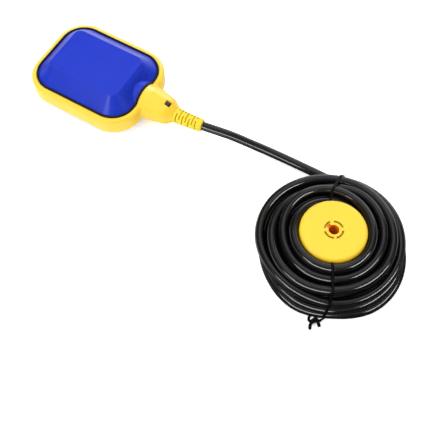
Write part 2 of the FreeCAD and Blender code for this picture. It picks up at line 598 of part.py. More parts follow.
boss = Part.makeCylinder(val("lever_boss"), hz, V(hx, hy, z0))
light = Part.Face(Part.makePolygon([V(hx + x, hy + y, z0) for x, y in
                                    ((8.0, 0.5), (15.5, 1.55), (15.5, 2.9), (8.0, 1.6), (8.0, 0.5))])).extrude(V(0, 0, hz))
bore = Part.makeCylinder(val("pin_rad") + val("pin_play"), hz, V(hx, hy, z0))
o = doc.addObject("Part::Feature", "lever")
o.Shape = arm.fuse(boss).cut(bore).cut(light).removeSplitter()
o.Placement = FreeCAD.Placement()
node(o, "actuator_lever")
node(cyl("pin", "pin_rad", "case_wide", "lever_x", "lever_y", "case_low_z"), "lever_pin")

# ---------------------------------------------------------------- microswitch
case_bot = "case_top_y - case_high"
split_z = "case_low_z + case_wide - cover_wall"
block = box("case_block", "case_len", "case_high", "case_wide - cover_wall", "case_x", case_bot, "case_low_z")
ear_low = fuse("ear_low", box("ear_low_block", "3.6", "case_wall + 2.1", "1.9", "lever_x - 1.8", "case_top_y - case_wall", "case_low_z"),
               cyl("ear_low_round", "1.5", "1.9", "lever_x", "lever_y", "case_low_z"))
room = box("case_room", "case_len - 2 * case_wall", "case_high - 2 * case_wall", "case_wide", "case_x + case_wall", case_bot + " + case_wall", "case_low_z + case_wall")
island_a = cyl("case_island_a", "island_rad", "case_wide - cover_wall", "hole_a_x", "hole_a_y", "case_low_z")
island_b = cyl("case_island_b", "island_rad", "case_wide - cover_wall", "hole_b_x", "hole_b_y", "case_low_z")
exits = [box("case_exit_" + n, "case_wall + 2", "term_thick", "term_wide", "case_x + case_len - case_wall - 1", "%s_y - term_thick / 2" % n, "ball_z - term_wide / 2")
         for n in ("closed", "open", "common")]
tools = [cyl("case_pin_hole", "pin_rad", "4", "lever_x", "lever_y", "case_low_z - 1"),
         cyl("case_plunger_hole", "plunger_rad + plunger_play", "case_wall + 2", "plunger_x", "case_top_y - case_wall - 1", "ball_z", "y")]
for n in ("a", "b"):
    tools.append(cyl("case_screw_" + n, "switch_screw_rad", "14", "hole_%s_x" % n, "hole_%s_y" % n, "case_low_z - 1"))
hollowed = cut("case_hollowed", fuse("case_solid", block, ear_low), room)
node(cut("case_cut", fuse("case_islands", hollowed, island_a, island_b), *(tools + exits)), "switch_base")

plate = box("cover_plate", "case_len", "case_high", "cover_wall", "case_x", case_bot, split_z)
ear_high = fuse("ear_high", box("ear_high_block", "3.6", "2.1", "1.9", "lever_x - 1.8", "case_top_y", split_z + " - 0.4"),
                cyl("ear_high_round", "1.5", "1.9", "lever_x", "lever_y", split_z + " - 0.4"))
tools = [cyl("cover_pin_hole", "pin_rad", "6", "lever_x", "lever_y", split_z + " - 2")]
for n in ("a", "b"):
    tools.append(cyl("cover_screw_hole_" + n, "switch_screw_rad", "6", "hole_%s_x" % n, "hole_%s_y" % n, split_z + " - 2"))
node(cut("cover_cut", fuse("cover_whole", plate, ear_high), *tools), "switch_cover")

screws = []
for n in ("a", "b"):
    shank = cyl("sw_shank_" + n, "switch_screw_rad", "case_wide + 3.8", "hole_%s_x" % n, "hole_%s_y" % n, "case_low_z - 3.8")
    head = cyl("sw_head_" + n, "2.3", "1.7", "hole_%s_x" % n, "hole_%s_y" % n, "case_low_z + case_wide")
    slot = box("sw_slot_" + n, "6", "0.7", "0.9", "hole_%s_x - 3" % n, "hole_%s_y - 0.35" % n, "case_low_z + case_wide + 0.8")
    screws.append(cut("sw_screw_" + n, fuse("sw_screw_whole_" + n, shank, head), slot))
node(fuse("sw_screws", *screws), "switch_screws")

stem = cyl("button_stem", "plunger_rad", "plunger_tip_y - plunger_rad - plunger_foot_y - 0.5", "plunger_x", "plunger_foot_y + 0.5", "ball_z", "y")
dome = ball("button_dome", "plunger_rad", "plunger_x", "plunger_tip_y - plunger_rad", "ball_z")
foot = cyl("button_foot", "0.8", "0.8", "plunger_x", "plunger_foot_y", "ball_z", "y")
node(fuse("button", stem, dome, foot), "switch_plunger")

strip = box("blade_strip", "contact_x + 1.6 - blade_pivot_x", "blade_thick", "blade_wide", "blade_pivot_x", "blade_y - blade_thick / 2", "ball_z - blade_wide / 2")
rivet = cyl("blade_rivet", "contact_rad", "1.8", "contact_x", "blade_y - 1.0", "ball_z", "y")
heel = cyl("blade_heel", "heel_rad", "blade_wide", "blade_pivot_x", "blade_y", "ball_z - blade_wide / 2")
node(fuse("blade", strip, rivet, heel), "contact_blade")

low_z = "ball_z - term_wide / 2"
post = box("common_post", "0.7", "10.9", "term_wide", "case_x + case_wall", "common_y - term_thick / 2", low_z)
run = box("common_run", "term_out_x - case_x - case_wall", "term_thick", "term_wide", "case_x + case_wall", "common_y - term_thick / 2", low_z)
node(fuse("common_bar", post, run), "common_terminal")
run = box("open_run", "term_out_x + 1.0", "term_thick", "term_wide", "-1.0", "open_y - term_thick / 2", low_z)
rivet = cyl("open_rivet", "contact_rad", "0.2", "contact_x", "open_y + term_thick / 2", "ball_z", "y")
node(fuse("open_bar", run, rivet), "open_terminal")
run = box("closed_run", "term_out_x + 0.5", "term_thick", "term_wide", "-0.5", "closed_y - term_thick / 2", low_z)
rivet = cyl("closed_rivet", "contact_rad", "0.2", "contact_x", "closed_y - term_thick / 2 - 0.2", "ball_z", "y")
node(fuse("closed_bar", run, rivet), "closed_terminal")

sleeves = []
for n in ("closed", "open", "common"):
    outer = box("sleeve_outer_" + n, "sleeve_len", "2 * sleeve_half_y", "2 * sleeve_half_z", "sleeve_x", "%s_y - sleeve_half_y" % n, "ball_z - sleeve_half_z")
    slit = box("sleeve_slit_" + n, "term_out_x - sleeve_x + 1", "term_thick", "term_wide", "sleeve_x - 1", "%s_y - term_thick / 2" % n, low_z)
    hole = cyl("sleeve_hole_" + n, "core_rad", "4", "sleeve_x + sleeve_len - 2", "%s_y" % n, "ball_z", "x")
    sleeves.append(cut("sleeve_" + n, outer, slit, hole))
node(fuse("sleeves", *sleeves), "terminal_sleeves")

for n, (cy, cz) in CORE_YZ.items():
    y0, z0 = val(n + "_y"), val("ball_z")
    y1, z1 = cy * val("core_ring"), val("mid_z") + cz * val("core_ring")
    x0 = val("sleeve_x") + val("sleeve_len") - 2
    out, back = {"closed": (6.5, 37.3), "open": (5.5, 35.5), "common": (9.0, 38.6)}[n]
    node(tube("core_" + n, [(x0, y0, z0), (x0 + out, y0, z0), (back, y1, z1), (val("jacket_end_x"), y1, z1)], val("core_rad")), "wire_" + n)

# ---------------------------------------------------------------- counterweight
body = doc.addObject("PartDesign::Body", "weight_body")
cup = revolve(body, "cup", "XZ_Plane", [
    ("weight_bore", "0"), ("weight_tube", "0"), ("weight_tube", "weight_high - weight_top"),
    ("weight_rad - weight_wall", "weight_high - weight_top"), ("weight_rad - weight_wall", "weight_taper"),
    ("weight_foot_rad - weight_wall", "0"), ("weight_foot_rad", "0"), ("weight_rad", "weight_taper"),
    ("weight_rad", "weight_high"), ("weight_bore", "weight_high")])
doc.recompute()
f = body.newObject("PartDesign::Fillet", "cup_edge")
f.Base = (cup, edges_where(cup.Shape, lambda e: e.Curve.TypeId == "Part::GeomCircle" and abs(e.Curve.Center.z - val("weight_high")) < 1e-6
                           and abs(e.Curve.Radius - val("weight_rad")) < 1e-6))
bind(f, "Radius", "weight_round")
place(body, "weight_x", "weight_y", "0")
# grooves that score the clip ring round the hole, and the ring's opening
sectors = []
for j, (a0, a1) in enumerate(((45.0, 118.0), (-48.0, 23.0), (-139.0, -64.0), (140.0, 200.0))):
    s = cyl("clip_sector_%d" % j, "clip_out", "4", "weight_x", "weight_y", "weight_high - 2.2")
    s.Angle = a1 - a0
    s.Placement = FreeCAD.Placement(V(0, 0, 0), FreeCAD.Rotation(V(0, 0, 1), a0))
    sectors.append(s)
core = cyl("clip_core", "clip_in", "6", "weight_x", "weight_y", "weight_high - 3")
grooves = cut("clip_grooves", fuse("clip_sectors", *sectors), core)
mouth = box("clip_mouth", "clip_out", "clip_gap", "4", "0", "0", "0")
rot = FreeCAD.Rotation(V(0, 0, 1), val("clip_gap_deg"))
mouth.Placement = FreeCAD.Placement(V(0, 0, 0), rot)
bind(mouth, "Placement.Base.x", "weight_x + sin(clip_gap_deg) * clip_gap / 2")
bind(mouth, "Placement.Base.y", "weight_y - cos(clip_gap_deg) * clip_gap / 2")
bind(mouth, "Placement.Base.z", "weight_high - 2.2")
mouth_in = common("clip_mouth_in", mouth, cyl("clip_mouth_round", "clip_in + 0.5", "6", "weight_x", "weight_y", "weight_high - 3"))
node(cut("weight_scored", body, grooves, mouth_in), "weight_cup")

body = doc.addObject("PartDesign::Body", "slug_body")
revolve(body, "slug", "XZ_Plane", [
    ("weight_tube + 0.1", "weight_taper"), ("weight_rad - weight_wall - 0.1", "weight_taper"),
    ("weight_rad - weight_wall - 0.1", "weight_high - weight_top"), ("weight_tube + 0.1", "weight_high - weight_top")])
node(place(body, "weight_x", "weight_y", "0"), "weight_slug")

slope_x = "(weight_rad - weight_foot_rad) / weight_taper"
body = doc.addObject("PartDesign::Body", "base_body")
revolve(body, "base", "XZ_Plane", [
    ("weight_tube", "0"), ("weight_foot_rad - weight_wall", "0"),
    ("weight_foot_rad - weight_wall + 2.0 * (%s)" % slope_x, "2"), ("weight_tube", "2")])
node(place(body, "weight_x", "weight_y", "0"), "weight_base")

# ---------------------------------------------------------------- coil, ties, far end
COIL = [("coil_in", "0"), ("coil_out - 3.2", "0"), ("coil_out", "3.2"), ("coil_out", "coil_side_z"),
        ("coil_bulge_rad", "coil_bulge_z"), ("coil_shoulder_rad", "coil_shoulder_z"),
        ("coil_top_rad", "coil_top_z"), ("coil_in", "coil_lip_z")]
body = doc.addObject("PartDesign::Body", "coil_body")
revolve(body, "coil", "XZ_Plane", COIL)
place(body, "weight_x", "weight_y", "0")

wx, wy = val("weight_x"), val("weight_y")
tt, tw = val("tie_thick"), val("tie_wide")
prof = [(doc_eval(r), max(doc_eval(z), tt)) for r, z in COIL]
prof[1] = (doc_eval("coil_out") - 3.2, tt)
ties = []
for side in ("front", "back"):
    inner = Part.Face(Part.makePolygon([V(r, -tw / 2, z) for r, z in prof + prof[:1]]))
    outer = inner.makeOffset2D(tt, 0)
    band = outer.extrude(V(0, tw, 0)).cut(inner.extrude(V(0, tw, 0)))
    if side == "front":
        # twisted ends, lying on the floor beside the coil
        knot = Part.makeCylinder(1.25, 6.0, V(val("coil_out") + 0.3, -0.4, 1.4), V(0.75, -0.66, 0))
        end_a = Part.makeCylinder(0.9, 8.5, V(val("coil_out") + 4.2, -3.8, 1.3), V(0.93, -0.36, 0))
        end_b = Part.makeCylinder(0.9, 6.5, V(val("coil_out") + 3.4, -2.6, 1.3), V(0.92, 0.40, 0))
        band = band.fuse([knot, end_a, end_b]).removeSplitter()
    if band.ShapeType != "Solid":
        band = band.Solids[0]
    o = doc.addObject("Part::Feature", "tie_band_" + side)
    o.Shape = band
    o.Placement = FreeCAD.Placement(V(wx, wy, 0), FreeCAD.Rotation(V(0, 0, 1), val("tie_%s_deg" % side)))
    ties.append(node(o, "tie_" + side))
node(cut("coil_cut", body, *ties), "cable_coil")

LEADS = (("common", 24.6, 1.15), ("open", 25.3, 3.45), ("closed", 25.75, 5.75))
a0, span = val("lead_start_deg"), val("lead_arc_deg")
tips = []
for n, r, z in LEADS:
    polar = [(31.0, a0 + span + 20.0), (r + 0.6, a0 + span + 5.0)] + [(r, a0 + (span - 8.0) * (4 - k) / 4) for k in range(5)]
    pts = [(wx + q * math.cos(math.radians(a)), wy + q * math.sin(math.radians(a)), z) for q, a in polar]
    node(tube("far_core_" + n, pts, val("core_rad")), "lead_" + n)
    d = V(*pts[-1]) - V(*pts[-2])
    tips.append(Part.makeCylinder(0.6, 5.0, V(*pts[-1]), d))
o = doc.addObject("Part::Feature", "far_tips")
o.Shape = Part.makeCompound(tips)
o.Placement = FreeCAD.Placement()
node(o, "lead_tips")

# the lead from the bend relief down to the floor and into the coil
ROUTE = [(val("entry_end_x"), 0.0, val("mid_z")), (110.0, 0.0, 20.0), (126.0, 5.4, 17.4), (140.5, 10.6, 12.0),
         (157.0, 14.7, 7.1), (175.0, 17.0, 4.6), (206.0, 18.0, 3.75), (238.0, 16.1, 3.7)]
node(tube("run", ROUTE, val("cable_rad")), "cable_run")

# ---------------------------------------------------------------- checks and files
doc.recompute()
bad = []
for obj in doc.Objects:
    if any(s in ("Invalid", "Error") for s in obj.State):
        bad.append((obj.Name, obj.State))
total = 0.0
for label, obj in NODES:
    s = obj.Shape
    if s.isNull() or not s.isValid() or not s.Solids:
        bad.append((label, "null" if s.isNull() else "not valid"))
        continue
    total += s.Volume
    b = s.BoundBox
    print("%-17s solids %d volume %9.1f  x %.1f..%.1f y %.1f..%.1f z %.2f..%.2f"
          % (label, len(s.Solids), s.Volume, b.XMin, b.XMax, b.YMin, b.YMax, b.ZMin, b.ZMax))
if len(set(l for l, o in NODES)) != len(NODES) or any(l != o.Label for l, o in NODES):
    bad.append(("labels", [(l, o.Label) for l, o in NODES if l != o.Label]))
if bad:
    raise SystemExit("failed: %r" % bad)
os.makedirs("parts", exist_ok=True)
for label, obj in NODES:
    obj.Shape.exportStep("parts/%s.step" % label)
print(len(NODES), "nodes,", round(total / 1000.0, 1), "cm3")
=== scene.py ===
# Level switch: a cable float switch with its coiled lead and counterweight.
# Looks only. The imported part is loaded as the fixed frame; all lengths in metres.
import math

import bpy
import bmesh
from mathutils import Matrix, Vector
from mathutils.bvhtree import BVHTree


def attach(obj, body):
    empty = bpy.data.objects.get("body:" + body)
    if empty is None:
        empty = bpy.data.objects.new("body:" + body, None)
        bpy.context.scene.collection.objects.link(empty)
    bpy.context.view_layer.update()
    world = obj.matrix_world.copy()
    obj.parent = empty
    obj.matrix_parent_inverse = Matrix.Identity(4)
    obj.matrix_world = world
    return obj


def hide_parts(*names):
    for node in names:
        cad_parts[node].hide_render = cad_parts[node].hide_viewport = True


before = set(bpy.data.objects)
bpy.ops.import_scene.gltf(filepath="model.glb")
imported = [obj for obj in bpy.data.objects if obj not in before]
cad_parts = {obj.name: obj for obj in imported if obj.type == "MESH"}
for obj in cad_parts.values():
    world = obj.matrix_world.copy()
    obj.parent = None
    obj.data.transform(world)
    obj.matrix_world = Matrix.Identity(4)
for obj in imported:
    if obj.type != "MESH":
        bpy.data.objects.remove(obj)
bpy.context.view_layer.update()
scene = bpy.context.scene
MM = 0.001

# ------------------------------------------------------------------ camera
cam_data = bpy.data.cameras.new("camera")
cam_data.sensor_width = 36.0
cam_data.lens = 61.93
cam_data.clip_start = 0.01
cam_data.clip_end = 20.0
cam = bpy.data.objects.new("camera", cam_data)
scene.collection.objects.link(cam)
cam.location = (0.2870, -0.2926, 0.5300)
aim = Vector((0.1493, -0.0563, 0.0)) - Vector(cam.location)
cam.rotation_euler = aim.to_track_quat("-Z", "Y").to_euler()
scene.camera = cam

# ------------------------------------------------------------------ cord
CABLE = 7.3
COIL_X, COIL_Y = 237.2, -37.7
# The points of the part's own route. The first ones follow the bend relief, which
# is bent a little to the side by the lead.
ROUTE = [
    (88.0, 0.15, 20.0),
    (101.2, 1.5, 20.0),
    (112.5, 3.55, 19.7),
    (126.0, 7.2, 16.9),
    (140.5, 11.0, 11.8),
    (157.0, 14.8, 7.0),
    (175.0, 16.8, 4.5),
    (206.0, 17.6, 3.75),
    (232.0, 17.1, 3.7),
    (251.0, 14.9, 3.68),
]
# The coil, clockwise seen from above: radius and height of the cable's middle
# every 30 degrees, a row for each turn. The first value is at 60 degrees.
TURNS = [
    # outermost turn on the floor
    [(54.8, 3.65), (55.8, 3.65), (57.0, 3.65), (57.2, 3.65), (53.4, 3.65), (54.7, 3.65),
     (51.6, 3.65), (50.4, 4.4), (50.6, 6.6), (51.0, 9.0), (51.6, 10.5), (52.4, 10.9)],
    # second turn of the outer wall
    [(52.9, 10.9), (53.4, 10.9), (54.0, 10.9), (53.5, 10.9), (53.0, 10.8), (52.6, 9.8),
     (50.8, 9.6), (48.8, 10.2), (46.6, 10.8), (44.8, 10.8), (44.4, 10.6), (44.8, 10.6)],
    # inner turns
    [(45.2, 10.6), (45.2, 10.6), (45.0, 10.6), (44.0, 10.6), (43.2, 10.6), (43.2, 10.4),
     (43.3, 9.6), (43.8, 7.6), (44.3, 5.0), (44.8, 3.75), (45.2, 3.65), (46.2, 3.65)],
    [(47.0, 3.65), (47.4, 3.65), (47.4, 3.65), (46.8, 3.65), (45.0, 3.65), (43.2, 3.65),
     (40.8, 3.65), (38.4, 3.65), (37.4, 3.65), (37.4, 3.65), (37.8, 3.65), (38.8, 3.65)],
    [(39.6, 3.65), (40.0, 3.65), (39.8, 3.65), (38.8, 3.65), (37.4, 3.9), (36.6, 5.2),
     (36.2, 7.8), (36.2, 10.2), (36.6, 11.0), (37.0, 10.9), (37.4, 10.8), (38.0, 10.8)],
    [(38.4, 10.8), (38.4, 10.8), (37.8, 10.8), (37.0, 10.8), (36.4, 11.0), (36.2, 12.4),
     (36.2, 15.0), (36.2, 17.5), (36.4, 18.2), (36.8, 18.0), (37.2, 17.8), (37.6, 17.8)],
    [(37.6, 17.8), (37.2, 17.8), (36.8, 17.8), (36.8, 17.8), (37.2, 17.8), (39.4, 18.0),
     (42.0, 17.8), (43.4, 17.8), (43.8, 17.8), (44.0, 17.7), (44.2, 17.6), (44.8, 17.6)],
    # comes out to the wall at the front left
    [(45.0, 17.6), (44.6, 17.6), (43.6, 17.5), (43.0, 17.2), (43.8, 16.0), (48.4, 15.0),
     (51.0, 15.2), (51.2, 15.5), (51.2, 16.2), (51.8, 16.6), (53.0, 16.8), (54.2, 17.0)],
    # third turn of the wall, rising to the outer ring at the left and the back
    [(54.3, 17.4), (53.0, 17.6), (51.8, 17.4), (50.9, 17.0), (50.5, 17.2), (50.3, 20.4),
     (51.6, 21.3), (54.2, 21.5), (54.0, 21.8), (52.4, 22.2), (50.8, 22.8), (49.5, 23.4)],
    # the three turns of the top, going inwards
    [(47.6, 24.2), (46.0, 24.8), (45.0, 25.2), (43.9, 25.6), (43.9, 25.8), (45.4, 25.8),
     (46.0, 26.0), (45.4, 25.6), (44.6, 23.6), (43.0, 21.4), (43.0, 21.8), (44.0, 24.0)],
    [(41.2, 25.6), (38.5, 26.2), (36.4, 26.8), (35.8, 27.1), (35.8, 27.2), (36.2, 27.0),
     (36.4, 26.8), (36.8, 26.6), (38.4, 26.5), (40.2, 26.5), (39.4, 26.5), (35.6, 27.2)],
    [(32.0, 28.6), (29.7, 30.2), (29.2, 31.2), (29.2, 31.5), (29.25, 31.5), (29.3, 31.5),
     (29.3, 31.3), (29.3, 30.4), (29.4, 28.4), (29.6, 26.0), (29.8, 23.8), (29.9, 22.6)],
    # down the counterweight's wall to the floor
    [(29.9, 22.0), (29.9, 22.4), (29.9, 23.6), (29.9, 24.2), (29.9, 24.2), (29.9, 24.2),
     (29.9, 24.0), (29.9, 23.0), (29.9, 21.0), (29.9, 18.8), (29.9, 16.6), (29.9, 15.2)],
    [(29.9, 14.6), (29.9, 14.4), (29.9, 13.8), (29.9, 12.4), (29.9, 10.6), (29.9, 8.4),
     (29.8, 6.4), (29.7, 4.8), (29.7, 3.9), (30.0, 3.65), (30.6, 3.65)],
]


def coil_points():
    """Control points of the coil, one every 15 degrees."""
    keys = []
    az = 60.0
    for turn in TURNS:
        for r, z in turn:
            keys.append((az, r, z))
            az -= 30.0
    out = []
    grow = 8.0 / (6.0 + 2.0 * math.cos(math.radians(15.0)))
    n = len(keys)
    for i in range(n - 1):
        a, b, c, d = keys[max(i - 1, 0)], keys[i], keys[i + 1], keys[min(i + 2, n - 1)]
        for t in (0.0, 0.5):
            v = []
            for j in (1, 2):
                v.append(0.5 * (2 * b[j] + (c[j] - a[j]) * t
                                + (2 * a[j] - 5 * b[j] + 4 * c[j] - d[j]) * t * t
                                + (3 * b[j] - a[j] - 3 * c[j] + d[j]) * t * t * t))
            ang = math.radians(b[0] + (c[0] - b[0]) * t)
            out.append((COIL_X + v[0] * grow * math.cos(ang), COIL_Y + v[0] * grow * math.sin(ang), v[1]))
    # the far end, where the bared leads begin
    for az, r, z in ((120.0, 30.9, 3.65), (105.0, 31.1, 3.63), (90.0, 31.1, 3.61), (76.0, 31.0, 3.6)):
        ang = math.radians(az)
        out.append((COIL_X + r * math.cos(ang), COIL_Y + r * math.sin(ang), z))
    return out


cable_points = ROUTE + coil_points()
curve = bpy.data.curves.new("cable", "CURVE")
curve.dimensions = "3D"
curve.twist_mode = "MINIMUM"
spline = curve.splines.new("NURBS")
spline.points.add(len(cable_points) - 1)
for p, (x, y, z) in zip(spline.points, cable_points):
    p.co = (x * MM, y * MM, z * MM, 1.0)
    p.radius = 0.5 * CABLE * MM
spline.order_u = 3
spline.use_endpoint_u = True
spline.resolution_u = 4
curve.resolution_u = 4
curve.bevel_depth = 1.0
curve.bevel_resolution = 7
curve.use_fill_caps = True
cable = bpy.data.objects.new("cable", curve)
scene.collection.objects.link(cable)
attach(cable, "float_case")
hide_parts("cable_run", "cable_coil")


# ------------------------------------------------------------------ materials
def srgb(r, g, b):
    def lin(c):
        c /= 255.0
        return c / 12.92 if c <= 0.04045 else ((c + 0.055) / 1.055) ** 2.4
    return (lin(r), lin(g), lin(b), 1.0)


def new_mat(name):
    m = bpy.data.materials.new(name)
    m.use_nodes = True
    nt = m.node_tree
    nt.nodes.clear()
    out = nt.nodes.new("ShaderNodeOutputMaterial")
    bsdf = nt.nodes.new("ShaderNodeBsdfPrincipled")
    nt.links.new(bsdf.outputs["BSDF"], out.inputs["Surface"])
    return m, nt, bsdf


def noise(nt, scale, detail=3.0, rough=0.55, stretch=None):
    tc = nt.nodes.new("ShaderNodeTexCoord")
    n = nt.nodes.new("ShaderNodeTexNoise")
    n.inputs["Scale"].default_value = scale
    n.inputs["Detail"].default_value = detail
    n.inputs["Roughness"].default_value = rough
    if stretch:
        mp = nt.nodes.new("ShaderNodeMapping")
        mp.inputs["Scale"].default_value = stretch
        nt.links.new(tc.outputs["Object"], mp.inputs["Vector"])
        nt.links.new(mp.outputs["Vector"], n.inputs["Vector"])
    else:
        nt.links.new(tc.outputs["Object"], n.inputs["Vector"])
    return n


def ramp(nt, fac, stops):
    r = nt.nodes.new("ShaderNodeValToRGB")
    while len(r.color_ramp.elements) < len(stops):
        r.color_ramp.elements.new(0.5)
    for e, (pos, col) in zip(r.color_ramp.elements, stops):
        e.position = pos
        e.color = col if len(col) == 4 else (*col, 1.0)
    nt.links.new(fac, r.inputs["Fac"])
    return r


def span(nt, value, a, b, lo, hi):
    m = nt.nodes.new("ShaderNodeMapRange")
    m.inputs["From Min"].default_value = a
    m.inputs["From Max"].default_value = b
    m.inputs["To Min"].default_value = lo
    m.inputs["To Max"].default_value = hi
    nt.links.new(value, m.inputs["Value"])
    return m


def bump(nt, bsdf, height, strength, distance):
    b = nt.nodes.new("ShaderNodeBump")
    b.inputs["Strength"].default_value = strength
    b.inputs["Distance"].default_value = distance
    nt.links.new(height, b.inputs["Height"])
    nt.links.new(b.outputs["Normal"], bsdf.inputs["Normal"])
    return b


def plastic(name, base, vary=0.05, rough=(0.32, 0.44), grain=2600.0, grain_depth=0.00003, grain_strength=0.25, level=0.5, cloud=55.0):
    """Moulded plastic: slow drift of colour, fine surface grain, uneven gloss."""
    m, nt, b = new_mat(name)
    slow = noise(nt, cloud, 4.0, 0.6)
    dark = tuple(c * (1.0 - vary) for c in base[:3]) + (1.0,)
    lite = tuple(min(1.0, c * (1.0 + vary)) for c in base[:3]) + (1.0,)
    r = ramp(nt, slow.outputs["Fac"], [(0.3, dark), (0.5, base), (0.7, lite)])
    nt.links.new(r.outputs["Color"], b.inputs["Base Color"])
    fine = noise(nt, grain, 2.0, 0.5)
    smear = noise(nt, 160.0, 3.0, 0.6)
    g = span(nt, smear.outputs["Fac"], 0.3, 0.7, rough[0], rough[1])
    nt.links.new(g.outputs["Result"], b.inputs["Roughness"])
    bump(nt, b, fine.outputs["Fac"], grain_strength, grain_depth)
    b.inputs["Specular IOR Level"].default_value = level
    return m


def metal(name, base, rough=(0.22, 0.38), stretch=(1.0, 1.0, 1.0), vary=0.08, scale=900.0):
    """Metal with fine directional marks."""
    m, nt, b = new_mat(name)
    n = noise(nt, scale, 4.0, 0.6, stretch)
    dark = tuple(c * (1.0 - vary) for c in base[:3]) + (1.0,)
    r = ramp(nt, n.outputs["Fac"], [(0.3, dark), (0.65, base)])
    nt.links.new(r.outputs["Color"], b.inputs["Base Color"])
    g = span(nt, n.outputs["Fac"], 0.3, 0.7, rough[0], rough[1])
    nt.links.new(g.outputs["Result"], b.inputs["Roughness"])
    b.inputs["Metallic"].default_value = 1.0
    bump(nt, b, n.outputs["Fac"], 0.12, 0.00002)
    return m


def shaded(name, base, stops, coord, rough=(0.36, 0.48), vary=0.03):
    """Moulded plastic whose colour goes over by place: stops of (coord value, colour)."""
    m, nt, b = new_mat(name)
    value = coord(nt)
    lo, hi = stops[0][0], stops[-1][0]
    f = span(nt, value, lo, hi, 0.0, 1.0)
    place = ramp(nt, f.outputs["Result"], [((v - lo) / (hi - lo), c) for v, c in stops])
    slow = noise(nt, 55.0, 4.0, 0.6)
    drift = ramp(nt, slow.outputs["Fac"], [(0.3, (1.0 - vary,) * 3), (0.7, (1.0, 1.0, 1.0))])
    mix = nt.nodes.new("ShaderNodeMix")
    mix.data_type = "RGBA"
    mix.blend_type = "MULTIPLY"
    mix.inputs["Factor"].default_value = 1.0
    nt.links.new(place.outputs["Color"], mix.inputs["A"])
    nt.links.new(drift.outputs["Color"], mix.inputs["B"])
    nt.links.new(mix.outputs["Result"], b.inputs["Base Color"])
    smear = noise(nt, 160.0, 3.0, 0.6)
    g = span(nt, smear.outputs["Fac"], 0.3, 0.7, rough[0], rough[1])
    nt.links.new(g.outputs["Result"], b.inputs["Roughness"])
    fine = noise(nt, 2200.0, 2.0, 0.5)
    bump(nt, b, fine.outputs["Fac"], 0.2, 0.00003)
    return m


def object_xyz(nt):
    tc = nt.nodes.new("ShaderNodeTexCoord")
    x = nt.nodes.new("ShaderNodeSeparateXYZ")
    nt.links.new(tc.outputs["Object"], x.inputs["Vector"])
    return x


def weight_plastic():
    """Yellow of the counterweight, with painted shade below the top face: brown in the bore and the clip's mouth,
    olive in the grooves.
    """
    m, nt, b = new_mat("yellow_weight")
    tc = nt.nodes.new("ShaderNodeTexCoord")
    sep = nt.nodes.new("ShaderNodeSeparateXYZ")
    nt.links.new(tc.outputs["Object"], sep.inputs["Vector"])
    flat = nt.nodes.new("ShaderNodeCombineXYZ")
    nt.links.new(sep.outputs["X"], flat.inputs["X"])
    nt.links.new(sep.outputs["Y"], flat.inputs["Y"])
    away = nt.nodes.new("ShaderNodeVectorMath")
    away.operation = "DISTANCE"
    away.inputs[1].default_value = (COIL_X * MM, COIL_Y * MM, 0.0)
    nt.links.new(flat.outputs["Vector"], away.inputs[0])
    # painted shade: the colour of what lies below the top face, darker than the yellow, from the middle outwards
    f = span(nt, away.outputs["Value"], 0.0, 0.010, 0.0, 1.0)
    hollow_shade_colour = ramp(nt, f.outputs["Result"], [
        (0.0, (0.80, 0.17, 0.006)), (0.585, (0.80, 0.19, 0.006)), (0.605, (0.62, 0.42, 0.012)),
        (0.765, (0.62, 0.42, 0.012)), (0.785, (0.90, 0.60, 0.032))])
    slow = noise(nt, 55.0, 4.0, 0.6)
    top = ramp(nt, slow.outputs["Fac"], [(0.3, (0.87, 0.605, 0.034)), (0.7, (0.91, 0.63, 0.038))])
    # mask for the painted shade: 1 below the top face, 0 on it
    down = span(nt, sep.outputs["Z"], 0.0355, 0.0359, 1.0, 0.0)
    mix = nt.nodes.new("ShaderNodeMix")
    mix.data_type = "RGBA"
    nt.links.new(down.outputs["Result"], mix.inputs["Factor"])
    nt.links.new(top.outputs["Color"], mix.inputs["A"])
    nt.links.new(hollow_shade_colour.outputs["Color"], mix.inputs["B"])
    nt.links.new(mix.outputs["Result"], b.inputs["Base Color"])
    smear = noise(nt, 160.0, 3.0, 0.6)
    g = span(nt, smear.outputs["Fac"], 0.3, 0.7, 0.34, 0.46)
    nt.links.new(g.outputs["Result"], b.inputs["Roughness"])
    fine = noise(nt, 2200.0, 2.0, 0.5)
    bump(nt, b, fine.outputs["Fac"], 0.2, 0.00003)
    return m


M = {}
M["blue_shell"] = plastic("blue_moulding", (0.0112, 0.0335, 0.455, 1.0), 0.05, (0.28, 0.36), 2200.0, 0.00003, 0.08, 0.25)
M["yellow_body"] = plastic("yellow_moulding", (0.91, 0.61, 0.034, 1.0), 0.03, (0.36, 0.48), 2200.0, 0.00003, 0.2)
M["yellow_boot"] = plastic("yellow_boot", (0.82, 0.64, 0.017, 1.0), 0.03, (0.42, 0.52), 2600.0, 0.00003, 0.2)
M["yellow_weight"] = weight_plastic()
M["black_seal"] = plastic("black_seal", (0.006, 0.007, 0.012, 1.0), 0.25, (0.45, 0.6), 3000.0, 0.00003, 0.3, 0.4)
M["white_plastic"] = plastic("white_moulding", (0.72, 0.72, 0.69, 1.0), 0.03, (0.35, 0.45))
M["clear_plastic"] = plastic("smoke_cover", (0.30, 0.33, 0.36, 1.0), 0.06, (0.12, 0.22))
M["dark_plastic"] = plastic("dark_moulding", (0.018, 0.018, 0.02, 1.0), 0.15, (0.35, 0.5))
M["red_plastic"] = plastic("red_button", (0.45, 0.02, 0.018, 1.0), 0.06, (0.3, 0.42))
M["resin"] = plastic("potting_resin", (0.05, 0.032, 0.02, 1.0), 0.2, (0.15, 0.3), 900.0, 0.00004, 0.3)
M["sleeve_plastic"] = plastic("sleeve_vinyl", (0.55, 0.07, 0.05, 1.0), 0.06, (0.3, 0.45))
M["core_black"] = plastic("core_black", (0.012, 0.012, 0.013, 1.0), 0.2, (0.35, 0.5))
M["core_brown"] = plastic("core_brown", (0.13, 0.05, 0.02, 1.0), 0.12, (0.35, 0.5))
